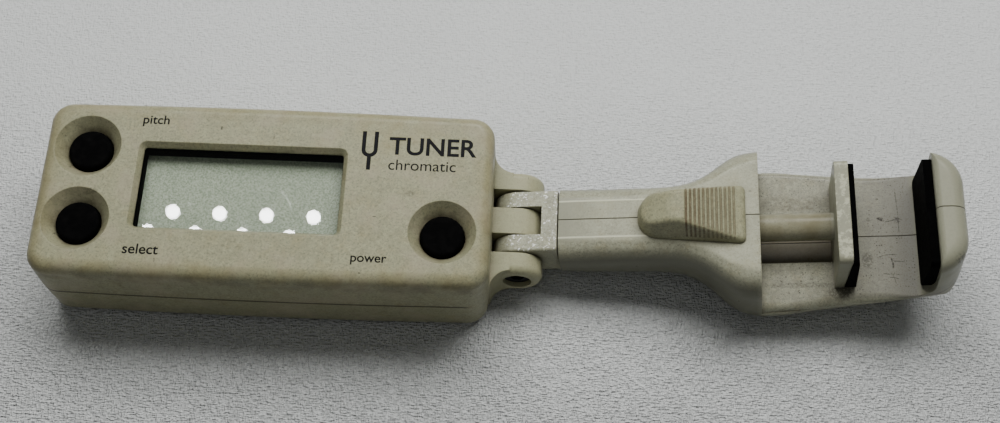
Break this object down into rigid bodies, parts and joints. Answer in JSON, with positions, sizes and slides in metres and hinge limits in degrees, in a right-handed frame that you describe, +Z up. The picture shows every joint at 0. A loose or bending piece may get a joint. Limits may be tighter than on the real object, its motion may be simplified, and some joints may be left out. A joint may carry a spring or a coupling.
{
  "type": "clip-on instrument tuner",
  "caption": "Clip-on instrument tuner: a flat case with a display window and round buttons, hinged and swivelling on a spring clamp with a sliding jaw.",
  "frame": {"origin": "bottom centre of the whole tuner as it lies, case flat and clamp tipped up", "axes": "+X from the case to the clamp's hook, +Y across, +Z up out of the display"},
  "size_m": [0.1424, 0.0298, 0.0219],
  "materials": {
    "case_plastic": "satin, aged beige-grey moulded plastic",
    "clamp_plastic": "satin, aged beige-grey moulded plastic",
    "yoke_plastic": "satin, worn",
    "jaw_plastic": "satin, worn",
    "slide_plastic": "satin, dirt in the ribs",
    "pad_rubber": "matte",
    "button_rubber": "matte",
    "window_lens": "clear, glossy",
    "gasket": "matte",
    "lcd_glass": "grey-green, fine speckle",
    "connector_rubber": "matte",
    "board": "green solder mask",
    "chip_plastic": "matte",
    "switch_plastic": "matte",
    "nylon": "satin",
    "cell_steel": "bright nickel plate",
    "contact_metal": "nickel plate",
    "piezo_brass": "satin",
    "lead_copper": "bright",
    "screw_steel": "zinc plate",
    "hinge_steel": "darkened, dull",
    "spring_steel": "bright wire"
  },
  "bodies": {
    "clamp_arm": {"clamp_half_near": "clamp_plastic", "clamp_half_far": "clamp_plastic", "clamp_screws": "screw_steel", "hook_pad": "pad_rubber", "friction_washer": "nylon"},
    "jaw": {"sliding_jaw": "jaw_plastic", "jaw_pad": "pad_rubber", "thumb_slide": "slide_plastic", "slide_pin": "screw_steel", "jaw_spring": "spring_steel"},
    "yoke": {"swivel_yoke": "yoke_plastic"},
    "tuner_case": {"front_shell": "case_plastic", "rear_shell": "case_plastic", "display_window": "window_lens", "lcd_gasket": "gasket", "lcd_panel": "lcd_glass", "connector_strip_front": "connector_rubber", "connector_strip_back": "connector_rubber", "circuit_board": "board", "main_chip": "chip_plastic", "signal_chip": "chip_plastic", "coin_cell": "cell_steel", "positive_contact": "contact_metal", "negative_contact": "contact_metal", "piezo_pickup": "piezo_brass", "piezo_leads": "lead_copper", "case_screws": "screw_steel", "hinge_screw": "hinge_steel", "hinge_nut": "screw_steel", "reference_switch": "switch_plastic", "select_switch": "switch_plastic", "power_switch": "switch_plastic"},
    "reference_key": {"reference_button": "button_rubber", "reference_plunger": "switch_plastic"},
    "select_key": {"select_button": "button_rubber", "select_plunger": "switch_plastic"},
    "power_key": {"power_button": "button_rubber", "power_plunger": "switch_plastic"},
    "battery_cover": {"battery_cap": "case_plastic"}
  },
  "joints": [
    {"name": "jaw_slide", "type": "slide", "parent": "clamp_arm", "child": "jaw", "axis": [-0.9869, 0, -0.1616], "range_m": [0, 0.0108], "stiffness_N_per_m": 400, "springref_m": -0.01, "deforming": ["jaw_spring"]},
    {"name": "case_swivel", "type": "hinge", "parent": "clamp_arm", "child": "yoke", "pos_m": [0.00303, 0, 0.0064], "axis": [0.9869, 0, 0.1616], "continuous": true},
    {"name": "case_tilt", "type": "hinge", "parent": "yoke", "child": "tuner_case", "pos_m": [0.00303, 0, 0.0064], "axis": [0, 1, 0], "range_deg": [-69, 50]},
    {"name": "reference_press", "type": "slide", "parent": "tuner_case", "child": "reference_key", "axis": [0, 0, -1], "range_m": [0, 0.0006], "stiffness_N_per_m": 800, "springref_m": -0.0015},
    {"name": "select_press", "type": "slide", "parent": "tuner_case", "child": "select_key", "axis": [0, 0, -1], "range_m": [0, 0.0006], "stiffness_N_per_m": 800, "springref_m": -0.0015},
    {"name": "power_press", "type": "slide", "parent": "tuner_case", "child": "power_key", "axis": [0, 0, -1], "range_m": [0, 0.0006], "stiffness_N_per_m": 800, "springref_m": -0.0015},
    {"name": "battery_cap_turn", "type": "hinge", "parent": "tuner_case", "child": "battery_cover", "pos_m": [-0.03917, 0, 0.0008], "axis": [0, 0, 1], "range_deg": [0, 40]}
  ]
}
